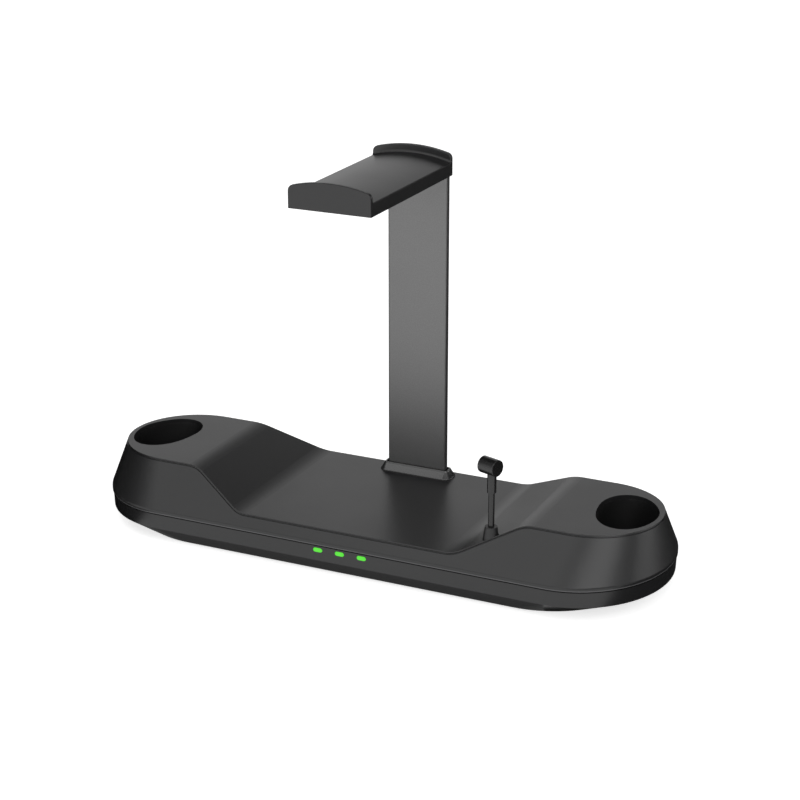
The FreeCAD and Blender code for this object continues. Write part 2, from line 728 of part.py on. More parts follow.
def build_cup(side):
    """Controller cup, welded by its flange to the underside of the top cover."""
    flange = cup_block(
        side, (s.cup_wall + s.cup_flange).mm, (z_cup_rim - s.cup_flange_thick).mm, z_cup_rim.mm)
    flange = flange.common(leaning_block((s.wall + s.fit).mm))
    cup = cup_block(side, s.cup_wall.mm, z_under_cup.mm, z_cup_rim.mm).fuse(flange)
    x = side * cup_place.mm
    wide, deep = s.contact_width.mm + 2 * s.fit.mm, s.contact_depth.mm + 2 * s.fit.mm
    tools = [
        cup_block(side, 0, z_cup.mm, z_cup_rim.mm),
        block(x, s.cup_back.mm, wide, deep, z_under_cup.mm, z_cup.mm),
    ]
    for end in (-1, 1):
        tools.append(rod(x + end * contact_screw_x.mm, s.cup_back.mm, small_pilot,
                         z_under_cup.mm, z_cup.mm - 0.25 * s.cup_floor.mm))
    return cut_all(cup, tools)


def build_lights():
    """Light windows that carry the lamps' light to the front of the band."""
    for place_name, number in (("left", -1), ("centre", 0), ("right", 1)):
        x = s.light_apart * number
        body = new_body(f"{place_name}_light")
        window = sketch_on(body, f"{place_name}_window", "XZ_Plane", band_front - s.light_length)
        add_rectangle(window, x, z_light, s.light_width, s.light_tall)
        pad(body, window, s.light_length)
        fillet(body, f"{place_name}_window_ends", s.light_tall * 0.49, lambda e: runs_along(e, "y"))
        flange = sketch_on(body, f"{place_name}_flange", "XZ_Plane", band_front - s.light_length)
        wide = s.light_width + s.light_flange * 2
        add_rectangle(flange, x, z_light, wide, s.light_tall + s.light_flange * 2)
        pad(body, flange, s.light_length - s.wall - s.fit - s.band_draft)


def build_main_board():
    """Main circuit board, behind the lights."""
    body = new_body("main_board")
    plan = sketch_on(body, "board_plan", "XY_Plane", z_board)
    add_rectangle(plan, 0, (board_front + board_rear) / 2, board_width, s.board_depth)
    pad(body, plan, s.board_thick)
    holes = sketch_on(body, "board_holes", "XY_Plane", z_board)
    for side in (-1, 1):
        for row in board_hole_rows:
            add_circle(holes, board_hole_x * side, row, s.small_screw + s.fit * 2)
    pocket(body, holes, s.board_thick, reverse=True)


def build_lamps():
    """Three light-emitting chips on the main board's front edge."""
    low = z_board.mm + s.board_thick.mm
    size = s.lamp_size.mm
    row = board_front.mm - size / 2 + 0.25 * size
    chips = [block(n * s.light_apart.mm, row, 1.6 * size, 1.5 * size, low, low + size) for n in (-1, 0, 1)]
    return Part.makeCompound(chips)


def build_power_board():
    """Small board behind the power socket."""
    body = new_body("power_board")
    plan = sketch_on(body, "power_plan", "XY_Plane", z_power_board)
    add_rectangle(plan, socket_place, power_board_middle, s.power_board_width, s.power_board_depth)
    pad(body, plan, s.board_thick)
    holes = sketch_on(body, "power_holes", "XY_Plane", z_power_board)
    for side in (-1, 1):
        x = socket_place + (s.power_board_width / 2 - s.board_hole_in) * side
        add_circle(holes, x, power_screw_row, s.small_screw + s.fit * 2)
    pocket(body, holes, s.board_thick, reverse=True)


def build_power_socket():
    """Round-ended steel socket with its centre blade, open to the rear."""
    rear = band_front.mm - s.band_draft.mm
    front = rear - s.socket_length.mm
    x, z, thin = socket_place.mm, z_socket.mm, s.socket_wall.mm
    wide, tall = s.socket_width.mm, s.socket_tall.mm
    socket = slot_block(x, z, wide, tall, rear, front)
    socket = socket.cut(slot_block(x, z, wide - 2 * thin, tall - 2 * thin, rear, front + 2 * thin))
    blade = block(x, (rear + front) / 2, 0.7 * wide, 0.8 * s.socket_length.mm, z - thin, z + thin)
    blade.translate(Vector(0, -0.1 * s.socket_length.mm + thin, 0))
    return socket.fuse(blade).removeSplitter()


def build_contacts():
    """Contact block, strips and board at the bottom of each cup."""
    for name, side in SIDES:
        x = cup_place * side
        body = new_body(f"{name}_contact_block")
        flange = sketch_on(body, f"{name}_flange", "XY_Plane", z_under_cup - s.contact_metal * 4)
        wide = s.contact_width + s.contact_flange * 2
        add_rectangle(flange, x, s.cup_back, wide, s.contact_depth + s.contact_flange)
        pad(body, flange, s.contact_metal * 4)
        rise = sketch_on(body, f"{name}_rise", "XY_Plane", z_under_cup)
        add_rectangle(rise, x, s.cup_back, s.contact_width, s.contact_depth)
        pad(body, rise, s.cup_floor + s.contact_rise)
        slots = sketch_on(body, f"{name}_slots", "XY_Plane", z_under_cup - s.contact_metal * 4)
        for end in (-1, 1):
            middle = x + s.contact_apart / 2 * end
            add_rectangle(slots, middle, s.cup_back, s.contact_pad + s.fit * 2, s.contact_metal + s.fit * 2)
            add_circle(slots, x + contact_screw_x * end, s.cup_back, s.small_screw + s.fit * 2)
        tall = s.contact_metal * 4 + s.cup_floor + s.contact_rise
        pocket(body, slots, tall, reverse=True)
        fillet(body, f"{name}_soft_top", s.contact_metal, lambda e: (
            at_height(e, (z_cup + s.contact_rise).mm) and e.Length > s.contact_depth.mm * 0.9))
        strips = []
        top = (z_cup + s.contact_rise).mm
        thin = s.contact_metal.mm
        low = (z_under_cup - s.contact_metal * 4).mm
        for end in (-1, 1):
            middle = x.mm + end * s.contact_apart.mm / 2
            face = block(middle, s.cup_back.mm, s.contact_pad.mm, s.contact_pad_long.mm, top, top + thin)
            leg = block(middle, s.cup_back.mm, s.contact_pad.mm, thin, low, top)
            strips.append(face.fuse(leg).removeSplitter())
        feature(f"{name}_contact_strips", Part.makeCompound(strips))
        board = new_body(f"{name}_contact_board")
        z_low = z_under_cup - s.contact_metal * 4 - s.board_thick
        plan = sketch_on(board, f"{name}_contact_plan", "XY_Plane", z_low)
        add_rectangle(plan, x, s.cup_back, wide, s.contact_depth + s.contact_flange)
        pad(board, plan, s.board_thick)
        holes = sketch_on(board, f"{name}_contact_holes", "XY_Plane", z_low)
        for end in (-1, 1):
            add_circle(holes, x + contact_screw_x * end, s.cup_back, s.small_screw + s.fit * 2)
        pocket(board, holes, s.board_thick, reverse=True)


def build_ballast():
    """Steel plate on the floor that keeps the tall upright from tipping."""
    body = new_body("ballast_plate")
    plan = sketch_on(body, "ballast_plan", "XY_Plane", z_floor)
    add_rectangle(plan, 0, (ballast_front + ballast_rear) / 2, ballast_width, ballast_depth)
    pad(body, plan, s.ballast_thick)
    notches = sketch_on(body, "ballast_notches", "XY_Plane", z_floor)
    for side in (-1, 1):
        gap = s.screw_wide + s.boss_wall * 2 + s.fit * 4
        add_circle(notches, case_screw_place * side, case_screw_side, gap)
        add_circle(notches, s.bracket_bolt_apart / 2 * side, foot_bolt_row, s.screw_wide + s.fit * 2)
    pocket(body, notches, s.ballast_thick, reverse=True)
    fillet(body, "ballast_corners", s.ballast_thick, lambda e: (
        runs_along(e, "z") and near(abs(e.CenterOfMass.x), ballast_width.mm / 2)))


def build_bracket():
    """Bent steel foot that joins the upright to the ballast plate."""
    body = new_body("upright_bracket")
    rear, front, thin = bar_front, bracket_front, s.bracket_thick
    side_view = sketch_on(body, "bracket_side", "YZ_Plane")
    add_outline(side_view, (
        (front, z_ballast), (rear, z_ballast), (rear, z_ballast + s.bracket_height),
        (rear - thin, z_ballast + s.bracket_height), (rear - thin, z_ballast + thin * 1.6),
        (rear - thin * 1.6, z_ballast + thin), (front, z_ballast + thin),
    ), {4: (thin * 0.6, -1)})
    pad(body, side_view, s.bar_width, symmetric=True)
    lying = sketch_on(body, "bracket_lying_holes", "XY_Plane", z_ballast)
    standing = sketch_on(body, "bracket_standing_holes", "XZ_Plane", -bar_front)
    for side in (-1, 1):
        add_circle(lying, s.bracket_bolt_apart / 2 * side, foot_bolt_row, s.screw_wide)
        add_circle(standing, s.bracket_bolt_apart / 2 * side, wall_bolt_height, s.screw_wide)
    pocket(body, lying, s.bracket_thick, reverse=True)
    pocket(body, standing, s.bracket_thick * 1.5, reverse=True)


def build_upright():
    """Flat bar that stands in the base and bends forward into the tray."""
    body = new_body("upright")
    bend, thick = s.bar_bend, s.bar_thick
    arm_under = z_arm
    arm_over = z_arm + thick
    elbow = z_arm - bend
    tip = bar_front - s.arm_length
    side_view = sketch_on(body, "upright_side", "YZ_Plane")
    add_outline(side_view, (
        (bar_front, z_ballast), (bar_rear, z_ballast), (bar_rear, elbow),
        (bar_front - bend, arm_over), (tip, arm_over), (tip, arm_under),
        (bar_front - bend, arm_under), (bar_front, elbow),
    ), {2: (bend + thick, 1), 6: (bend, -1)})
    pad(body, side_view, s.bar_width, symmetric=True)
    foot_holes = sketch_on(body, "upright_foot_holes", "XZ_Plane", -bar_rear)
    for side in (-1, 1):
        x = s.bracket_bolt_apart / 2 * side
        add_circle(foot_holes, x, wall_bolt_height, s.screw_wide + s.fit * 2)
    pocket(body, foot_holes, s.bar_thick * 1.5, reverse=True)
    holes = sketch_on(body, "arm_holes", "XY_Plane", arm_over)
    for x, y in tray_screw_places():
        add_circle(holes, x, y, s.screw_wide + s.fit * 2)
    pocket(body, holes, s.bar_thick)
    fillet(body, "upright_edges", s.bar_round, lambda e: (
        near(abs(e.CenterOfMass.x), s.bar_width.mm / 2) and e.Length > s.bar_thick.mm * 1.01))


def tray_screw_places():
    """Four screws that hold tray, arm and lower plate together."""
    rows = (bar_front - s.arm_length * 0.3, bar_front - s.arm_length * 0.85)
    return [(s.bar_width * 0.28 * side, row) for side in (-1, 1) for row in rows]


def build_collar():
    """Soft-edged collar that hides the slot in the deck round the upright."""
    body = new_body("upright_collar")
    foot = sketch_on(body, "collar_foot", "XY_Plane", z_deck)
    add_rectangle(foot, 0, bar_middle, s.collar_width, s.collar_depth)
    pad(body, foot, s.collar_flange)
    fillet(body, "collar_foot_corners", s.collar_depth * 0.38, lambda e: runs_along(e, "z"))
    neck_wide = s.collar_width - s.collar_inset * 2
    neck_deep = s.collar_depth - s.collar_inset * 2
    neck = sketch_on(body, "collar_neck", "XY_Plane", z_deck)
    add_rectangle(neck, 0, bar_middle, neck_wide, neck_deep)
    pad(body, neck, s.collar_height)
    z_flange = (z_deck + s.collar_flange).mm
    fillet(body, "collar_neck_corners", neck_deep * 0.38, lambda e: (
        runs_along(e, "z") and e.BoundBox.ZMax > z_flange + 1))
    fillet(body, "collar_flare", s.collar_inset * 0.8, lambda e: (
        at_height(e, z_flange) and e.BoundBox.XMax < neck_wide.mm / 2 + 0.01
        and e.BoundBox.XMin > -neck_wide.mm / 2 - 0.01
        and e.BoundBox.YMax < (bar_middle + neck_deep / 2).mm + 0.01
        and e.BoundBox.YMin > (bar_middle - neck_deep / 2).mm - 0.01))
    fillet(body, "collar_rim", s.collar_recess * 0.9, lambda e: at_height(e, (z_deck + s.collar_height).mm))
    spigot = sketch_on(body, "collar_spigot", "XY_Plane", z_deck)
    wide = s.bar_width + s.collar_spigot * 2 + s.fit * 2
    add_rectangle(spigot, 0, bar_middle, wide, s.bar_thick + s.collar_spigot * 2 + s.fit * 2)
    pad(body, spigot, s.cover_sheet, reverse=True)
    through = sketch_on(body, "collar_slot", "XY_Plane", z_deck + s.collar_height)
    add_rectangle(through, 0, bar_middle, s.bar_width + s.fit * 2, s.bar_thick + s.fit * 2)
    pocket(body, through, s.collar_height + s.cover_sheet)
    recess = sketch_on(body, "collar_recess", "XY_Plane", z_deck + s.collar_height)
    wide = s.bar_width + s.collar_recess * 2
    add_rectangle(recess, 0, bar_middle, wide, s.bar_thick + s.collar_recess * 2)
    pocket(body, recess, s.collar_recess_deep)


def arch_radius(half_width, rise):
    """Radius of an arch over a span."""
    return (half_width * half_width + rise * rise) / (rise * 2)


def build_tray():
    """Arched tray with an upstanding lip at each end, hollow from below."""
    body = new_body("headset_tray")
    half = s.tray_width / 2
    radius = arch_radius(half, s.tray_arch)
    side_top = z_tray + s.tray_side
    deck = sketch_on(body, "tray_section", "XZ_Plane", -tray_back)
    add_outline(deck, (
        (-half, z_tray), (half, z_tray), (half, side_top), (-half, side_top),
    ), {2: (radius, 1)})
    pad(body, deck, s.tray_length)
    lip_top = side_top + s.tray_lip_height
    for name, offset in (("rear", -tray_back), ("front", -tray_front - s.tray_lip)):
        lip = sketch_on(body, f"{name}_lip", "XZ_Plane", offset)
        add_outline(lip, (
            (-half, z_tray), (half, z_tray), (half, lip_top), (-half, lip_top),
        ), {2: (radius, 1)})
        pad(body, lip, s.tray_lip)
    fillet(body, "lip_corners", s.tray_lip_round, lambda e: (
        runs_along(e, "y") and near(e.CenterOfMass.z, lip_top.mm)))
    outer_faces = (tray_front.mm, tray_back.mm)
    inner_faces = ((tray_front + s.tray_lip).mm, (tray_back - s.tray_lip).mm)
    fillet(body, "lip_feet", s.tray_foot_round, lambda e: (
        at_depth(e, inner_faces) and near(e.BoundBox.ZMin, side_top.mm, 0.1)
        and e.BoundBox.XLength > half.mm))
    fillet(body, "lip_edges", s.tray_edge, lambda e: (
        at_depth(e, outer_faces)
        or at_depth(e, inner_faces) and e.CenterOfMass.z > (side_top + s.tray_foot_round).mm))
    inner = half - s.tray_shell
    inner_top = side_top - s.tray_shell
    hollow = sketch_on(body, "tray_hollow", "XZ_Plane", -tray_back + s.tray_lip)
    inner_radius = arch_radius(inner, s.tray_arch)
    add_outline(hollow, (
        (-inner, z_tray), (inner, z_tray), (inner, inner_top), (-inner, inner_top),
    ), {2: (inner_radius, 1)})
    pocket(body, hollow, s.tray_length - s.tray_lip * 2, reverse=True)
    slot = sketch_on(body, "tray_arm_slot", "XZ_Plane", -tray_back)
    add_rectangle(slot, 0, z_arm + s.bar_thick / 2, s.bar_width + s.fit * 2, s.bar_thick + s.fit * 2)
    pocket(body, slot, s.tray_lip, reverse=True)
    bosses = sketch_on(body, "tray_bosses", "XY_Plane", z_arm + s.bar_thick)
    for x, y in tray_screw_places():
        add_circle(bosses, x, y, s.screw_wide + s.boss_wall * 2)
    boss_tall = s.tray_side - s.tray_cover - s.bar_thick + s.tray_arch / 2
    pad(body, bosses, boss_tall)
    holes = sketch_on(body, "tray_pilots", "XY_Plane", z_arm + s.bar_thick)
    for x, y in tray_screw_places():
        add_circle(holes, x, y, s.screw_wide * 0.85)
    pocket(body, holes, boss_tall, reverse=True)


def build_tray_cover():
    """Flat plate that closes the tray from below."""
    body = new_body("tray_lower_plate")
    wide = s.tray_width - s.tray_shell * 2 - s.fit * 2
    long = s.tray_length - s.tray_lip * 2 - s.fit * 2
    plan = sketch_on(body, "plate_plan", "XY_Plane", z_tray)
    add_rectangle(plan, 0, tray_back - s.tray_length / 2, wide, long)
    pad(body, plan, s.tray_cover)
    holes = sketch_on(body, "plate_holes", "XY_Plane", z_tray)
    for x, y in tray_screw_places():
        add_circle(holes, x, y, s.screw_wide + s.fit * 2)
    pocket(body, holes, s.tray_cover, reverse=True)
    sinks = sketch_on(body, "plate_sinks", "XY_Plane", z_tray)
    for x, y in tray_screw_places():
        add_circle(sinks, x, y, s.screw_head + s.fit * 2)
    pocket(body, sinks, s.flat_head_tall, reverse=True)


def turned(name, x, y, points, arcs=None):
    """A turned piece from half of its section, on an upright axis at x, y."""
    body = new_body(name)
    half = sketch_on(body, f"{name}_half", "XZ_Plane")
    add_outline(half, points, arcs)
    revolve(body, half)
    place(body, x=x, y=y)
    return body


def build_feet():
    """Four rubber feet."""
    wide, tall = s.foot_wide / 2, s.foot_stand + s.foot_seat
    for corner, side, row in CORNERS:
        turned(f"{corner}_foot", foot_place * side, foot_side * row, (
            (0, 0), (wide - s.foot_stand / 2, 0), (wide, s.foot_stand / 2), (wide, tall), (0, tall),
        ), {1: (s.foot_stand / 2, 1)})


def build_boot(z_base, z_boot_top):
    """Rubber boot: a tapered foot on the ramp, a neck through it and a flange below."""
    foot_radius, top_radius = s.boot_wide.mm / 2, s.boot_top_wide.mm / 2
    lower = z_boot_flange.mm
    tall = z_boot_top - lower
    spread = foot_radius + (foot_radius - top_radius) * (z_post.mm - lower) / (z_boot_top - z_post.mm)
    foot = Part.makeCone(spread, top_radius, tall, Vector(post.x, post.y, lower)).cut(below_top(0))
    neck = rod(post.x, post.y, s.boot_neck.mm, lower, z_boot_top)
    flange = rod(post.x, post.y, s.boot_flange.mm, z_base, lower)
    bore = rod(post.x, post.y, (s.lead_wide + s.fit * 2).mm, z_base, z_boot_top)
    return foot.fuse([neck, flange]).removeSplitter().cut(bore)


def build_connector():
    """Boot, stiff lead, sleeve and magnetic head of the headset connector."""
    x, y = post_place, post_row
    lead, sleeve = s.lead_wide / 2, s.sleeve_wide / 2
    z_boot_top = z_sole + s.boot_top
    z_sleeve = z_sole + s.sleeve_foot
    z_head = z_sole + s.head_height
    z_base = z_boot_flange - s.boot_flange_thick
    feature("connector_boot", build_boot(z_base.mm, z_boot_top.mm))
    z_joint = z_sleeve + (z_head - z_sleeve) * 0.3
    turned("connector_lead", x, y, (
        (0, z_base - s.lead_wide), (lead, z_base - s.lead_wide), (lead, z_joint), (0, z_joint),
    ))
    head_radius = s.head_wide / 2
    z_sleeve_top = z_head - head_radius * 0.6
    body = turned("connector_sleeve", x, y, (
        (0, z_joint), (lead, z_joint), (lead, z_sleeve), (sleeve, z_sleeve),
        (sleeve, z_sleeve_top), (0, z_sleeve_top),
    ))
    notch = sketch_on(body, "sleeve_notch", "XZ_Plane")
    add_rectangle(notch, -sleeve, z_sleeve + s.sleeve_wide / 2 * 0.6, s.sleeve_notch * 2, s.sleeve_notch)
    pocket(body, notch, s.sleeve_wide, symmetric=True)
    turn = math.radians(s.head_turn.mm)
    axis = Vector(math.cos(turn), -math.sin(turn), 0)
    centre = Vector(x.mm, y.mm, z_head.mm) - axis * s.head_shift.mm
    left_end = centre - axis * (s.head_long.mm / 2)
    head = Part.makeCylinder(head_radius.mm, s.head_long.mm, left_end, axis)
    head = head.makeFillet(s.head_edge.mm, [e for e in head.Edges if e.Length > head_radius.mm * 6])
    gap = s.fit.mm
    well = Part.makeCylinder(s.magnet_wide.mm / 2 + gap, s.magnet_long.mm + gap, left_end, axis)
    bore = rod(x.mm, y.mm, s.sleeve_wide.mm + gap, z_head.mm - 2 * head_radius.mm, z_sleeve_top.mm)
    feature("connector_head", head.cut(well).cut(bore).removeSplitter())
    seat = left_end + axis * gap
    magnet = Part.makeCylinder(s.magnet_wide.mm / 2, s.magnet_long.mm, seat, axis)
    magnet = magnet.cut(Part.makeCylinder(s.insert_wide.mm / 2 + gap, s.magnet_long.mm, seat, axis))
    feature("connector_magnet", magnet)
    insert = Part.makeCylinder(s.insert_wide.mm / 2, s.magnet_long.mm + gap, left_end, axis)
    feature("connector_insert", insert)


def screw(diameter, head, head_tall, length, point, direction):
    """A screw with a hexagon recess; point is under its head."""
    shank = Part.makeCylinder(diameter / 2, length, Vector(), Vector(0, 0, 1))
    cap = Part.makeCylinder(head / 2, head_tall, Vector(0, 0, -head_tall), Vector(0, 0, 1))
    corner = [Vector(
        0.25 * head * math.cos(math.radians(60 * n)), 0.25 * head * math.sin(math.radians(60 * n)),
        -head_tall) for n in range(7)]
    recess = Part.Face(Part.makePolygon(corner)).extrude(Vector(0, 0, 0.6 * head_tall))
    body = shank.fuse(cap).removeSplitter().cut(recess)
    body.Placement = Placement(point, Rotation(Vector(0, 0, 1), direction))
    return body


def big_screw(point, direction, length, diameter=None):
    return screw(diameter or pilot, s.screw_head.mm, s.screw_head_tall.mm, length, point, direction)


def little_screw(point, direction, length):
    return screw(small_pilot, s.small_head.mm, s.small_head_tall.mm, length, point, direction)


def build_screws():
    """Fasteners, one group of like screws to a node."""
    up, down = Vector(0, 0, 1), Vector(0, 0, -1)
    seat = z_floor.mm + s.screw_head_tall.mm
    length = z_under_deck.mm - seat - s.screw_head_tall.mm
    feature("case_screws", Part.makeCompound([
        big_screw(Vector(x, y, seat), up, length) for x, y in case_screws]))
    seat = z_sole.mm + s.screw_head_tall.mm
    length = (z_ballast + s.bracket_thick).mm - seat
    wide = s.screw_wide.mm
    feature("bracket_bolts", Part.makeCompound([
        big_screw(Vector(x, foot_bolt_row.mm, seat), up, length, wide) for x in foot_bolts]))
    length = s.bar_thick.mm + s.bracket_thick.mm
    feature("upright_bolts", Part.makeCompound([
        big_screw(Vector(x, bar_rear.mm, wall_bolt_height.mm), Vector(0, -1, 0), length, wide)
        for x in foot_bolts]))
    seat = z_tray.mm + s.flat_head_tall.mm
    length = (s.tray_side - s.flat_head_tall).mm
    feature("tray_screws", Part.makeCompound([
        flat_screw(Vector(x.mm, y.mm, seat), up, length) for x, y in tray_screw_places()]))
    length = (s.board_thick + s.small_grip).mm
    top = z_board.mm + s.board_thick.mm
    power_top = z_power_board.mm + s.board_thick.mm
    boards = [little_screw(Vector(x, y, top), down, length) for x, y in board_screws]
    boards += [little_screw(Vector(x, y, power_top), down, length) for x, y in power_screws]
    feature("board_screws", Part.makeCompound(boards))
    low = z_under_cup.mm - 4 * s.contact_metal.mm - s.board_thick.mm
    length = s.board_thick.mm + 4 * s.contact_metal.mm + 0.7 * s.cup_floor.mm
    contacts = []
    for _, side in SIDES:
        for end in (-1, 1):
            x = side * cup_place.mm + end * contact_screw_x.mm
            contacts.append(little_screw(Vector(x, s.cup_back.mm, low), up, length))
    feature("contact_screws", Part.makeCompound(contacts))


def flat_screw(point, direction, length):
    return screw(pilot, s.screw_head.mm, s.flat_head_tall.mm, length, point, direction)


feature("lower_shell", build_lower_shell())
feature("upper_shell", build_upper_shell())
feature("top_cover", build_top_cover())
for side_name, side_sign in SIDES:
    feature(f"{side_name}_controller_cup", build_cup(side_sign))
build_lights()
build_main_board()
feature("status_lamps", build_lamps())
build_power_board()
feature("power_socket", build_power_socket())
build_contacts()
build_ballast()
build_bracket()
build_upright()
build_collar()
build_tray()
build_tray_cover()
build_connector()
build_feet()
build_screws()
doc.recompute()

for thing in doc.Objects:
    if "Invalid" in thing.State or "Error" in thing.State:
        raise RuntimeError(f"{thing.Label} failed: {thing.State}")
for thing in parts:
    if thing.Shape.isNull() or not thing.Shape.isValid():
        raise RuntimeError(f"{thing.Label} has no valid shape")

os.makedirs("parts", exist_ok=True)
for thing in parts:
    thing.Shape.exportStep(f"parts/{thing.Label}.step")
print(len(parts), "pieces written")
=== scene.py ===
# %% [markdown]
# # A charging stand for a headset and its two hand controllers
#
# The construction comes ready made: every piece is already at its real size
# and place, in metres, with its feet on the table at Z = 0. What is left to
# do here is what the eye judges first, the finish of every surface, the light
# and the camera. So this lesson is about black plastic. On black there is
# hardly any colour to look at, and everything is told by soft highlights.

# %% The pieces
import math

import bpy
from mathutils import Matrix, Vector, geometry


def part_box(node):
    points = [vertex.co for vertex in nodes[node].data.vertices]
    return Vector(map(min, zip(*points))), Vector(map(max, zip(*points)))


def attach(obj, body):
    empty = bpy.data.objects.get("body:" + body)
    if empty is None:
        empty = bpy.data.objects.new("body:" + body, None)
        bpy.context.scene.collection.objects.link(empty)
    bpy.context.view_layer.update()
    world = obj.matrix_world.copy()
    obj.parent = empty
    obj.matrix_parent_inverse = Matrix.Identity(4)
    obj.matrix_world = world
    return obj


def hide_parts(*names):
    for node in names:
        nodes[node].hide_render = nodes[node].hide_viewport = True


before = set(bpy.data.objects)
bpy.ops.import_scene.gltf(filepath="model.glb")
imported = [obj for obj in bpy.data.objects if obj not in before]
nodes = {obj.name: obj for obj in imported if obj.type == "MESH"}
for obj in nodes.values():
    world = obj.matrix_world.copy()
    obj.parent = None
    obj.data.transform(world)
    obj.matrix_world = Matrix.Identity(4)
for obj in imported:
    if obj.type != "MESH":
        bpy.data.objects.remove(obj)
scene = bpy.context.scene
MM = 0.001
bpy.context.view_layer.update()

# %% [markdown]
# ## The camera
#
# A product picture is usually taken with a long lens from a few paces away,
# so that upright edges stay nearly parallel. The camera stands in front of the
# stand and to its right, turned by twenty-five degrees, and tips down by
# twenty. Its place is written as a place, and not as a target that it tracks,
# because that keeps the upright exactly upright in the picture.

# %% The camera
LENS = 90.68
SENSOR = 36.0
LOOK_DOWN = math.radians(19.87)
LOOK_ROUND = math.radians(25.13)
CAMERA_PLACE = Vector((0.4686, -0.9784, 0.4800))
NEAREST_SEEN = 0.05

camera_data = bpy.data.cameras.new("camera")
camera_data.lens = LENS
camera_data.sensor_width = SENSOR
camera_data.clip_start = NEAREST_SEEN
camera = bpy.data.objects.new("camera", camera_data)
camera.location = CAMERA_PLACE
camera.rotation_euler = (math.pi / 2 - LOOK_DOWN, 0, LOOK_ROUND)
scene.collection.objects.link(camera)
scene.camera = camera
scene.view_settings.view_transform = "Standard"
print("camera", [round(v, 3) for v in camera.location])

# %% [markdown]
# ## Helpers for nodes and meshes
#
# A material in Blender is a small graph of nodes. Short helpers keep the
# recipes below easy to read: they start an empty material, add a node and set
# its inputs, feed one input with a number, a colour or another node's output,
# do one sum, or stretch a range of numbers onto another.

# %% Node helpers
WHITE = (1.0, 1.0, 1.0)


def feed(tree, socket, value):
    """Give an input a number, a colour or another node's output."""
    if isinstance(value, bpy.types.NodeSocket):
        tree.links.new(value, socket)
    elif hasattr(value, "__len__") and len(value) == 3 and socket.type == "RGBA":
        socket.default_value = (*value, 1.0)
    else:
        socket.default_value = value


def add_node(tree, kind, settings=None, **inputs):
    """A new node. An input's name is written with _ for a space."""
    node = tree.nodes.new(kind)
    for name, value in (settings or {}).items():
        setattr(node, name, value)
    for name, value in inputs.items():
        feed(tree, node.inputs[name.replace("_", " ")], value)
    return node


def compute(tree, operation, *values):
    """The result of a Math node."""
    node = add_node(tree, "ShaderNodeMath", {"operation": operation})
    for socket, value in zip(node.inputs, values):
        feed(tree, socket, value)
    return node.outputs[0]


def stretch(tree, value, low, high, new_low=0.0, new_high=1.0):
    """The range from low to high, stretched from new_low to new_high."""
    node = add_node(
        tree, "ShaderNodeMapRange", Value=value, From_Min=low, From_Max=high, To_Min=new_low,
        To_Max=new_high)
    return node.outputs["Result"]


def blend_shaders(tree, share, first, second):
    """The first shader where the share is 0 and the second where it is 1."""
    mix = add_node(tree, "ShaderNodeMixShader", Fac=share)
    feed(tree, mix.inputs[1], first.outputs[0])
    feed(tree, mix.inputs[2], second.outputs[0])
    return mix.outputs[0]


def new_material(name):
    """A material with no nodes yet, and its node tree."""
    material = bpy.data.materials.new(name)
    material.use_nodes = True
    material.node_tree.nodes.clear()
    return material, material.node_tree


# %% [markdown]
# A mesh can be written down directly, as a list of points and a list of faces
# that name their points by number.

# %% Mesh helper


def new_piece(name, points, faces):
    """An object from points and faces, put into the scene."""
    mesh = bpy.data.meshes.new(name)
    mesh.from_pydata(points, [], faces)
    piece = bpy.data.objects.new(name, mesh)
    scene.collection.objects.link(piece)
    return piece


# %% [markdown]
# ## The studio
#
# The stand is on a pale table in a white room. Soft light from every side
# would make the black plastic grey and flat, so the room gives only a quiet
# fill, and the modelling is left to the lamps. The camera, reflections and
# glass still see a white room, which the Light Path node tells apart from the
# soft light that the room sends out.

# %% The room
ROOM_LIGHT = 0.50


def seen_directly(tree):
    """1 for the camera and for reflections and glass, 0 for soft light."""
    path = add_node(tree, "ShaderNodeLightPath").outputs
    camera_or_gloss = compute(tree, "MAXIMUM", path["Is Camera Ray"], path["Is Glossy Ray"])
    return compute(tree, "MAXIMUM", camera_or_gloss, path["Is Transmission Ray"])


world = bpy.data.worlds.new("room")
scene.world = world
world.use_nodes = True
room = world.node_tree
room.nodes.clear()
soft = add_node(room, "ShaderNodeBackground", Color=WHITE, Strength=ROOM_LIGHT)
bright = add_node(room, "ShaderNodeBackground", Color=WHITE, Strength=1.0)
add_node(
    room, "ShaderNodeOutputWorld", Surface=blend_shaders(room, seen_directly(room), soft, bright))
print("the room lights with", ROOM_LIGHT)

# %% [markdown]
# The table is matt and pale. Where the camera or a reflection looks at it, it
# is lifted to white, so that the stand ends in its own soft shadow and the
# edge of the table never shows.

# %% The table
TABLE_SIZE = 16.0
TABLE_COLOUR = (0.80, 0.80, 0.80)
TABLE_LIFT = 0.70

bpy.ops.mesh.primitive_plane_add(size=TABLE_SIZE)
table = bpy.context.object
table.name = "table"
table_paint, tree = new_material("pale_table")
matt = add_node(tree, "ShaderNodeBsdfDiffuse", Color=TABLE_COLOUR)
lift = add_node(tree, "ShaderNodeEmission", Color=WHITE, Strength=TABLE_LIFT)
lifted = add_node(tree, "ShaderNodeAddShader")
feed(tree, lifted.inputs[0], matt.outputs[0])
feed(tree, lifted.inputs[1], lift.outputs[0])
add_node(
    tree, "ShaderNodeOutputMaterial",
    Surface=blend_shaders(tree, seen_directly(tree), matt, lifted))
table.data.materials.append(table_paint)
print("table", TABLE_SIZE, "m across")

# %% [markdown]
# Two large soft lamps do the modelling: a wide one on the right, which draws
# the bright stripe along the rounded wall, and a weaker one high on the left,
# which lays a sheen on everything that faces up. Each is placed by its
# direction from the stand, because for a highlight only the direction counts.

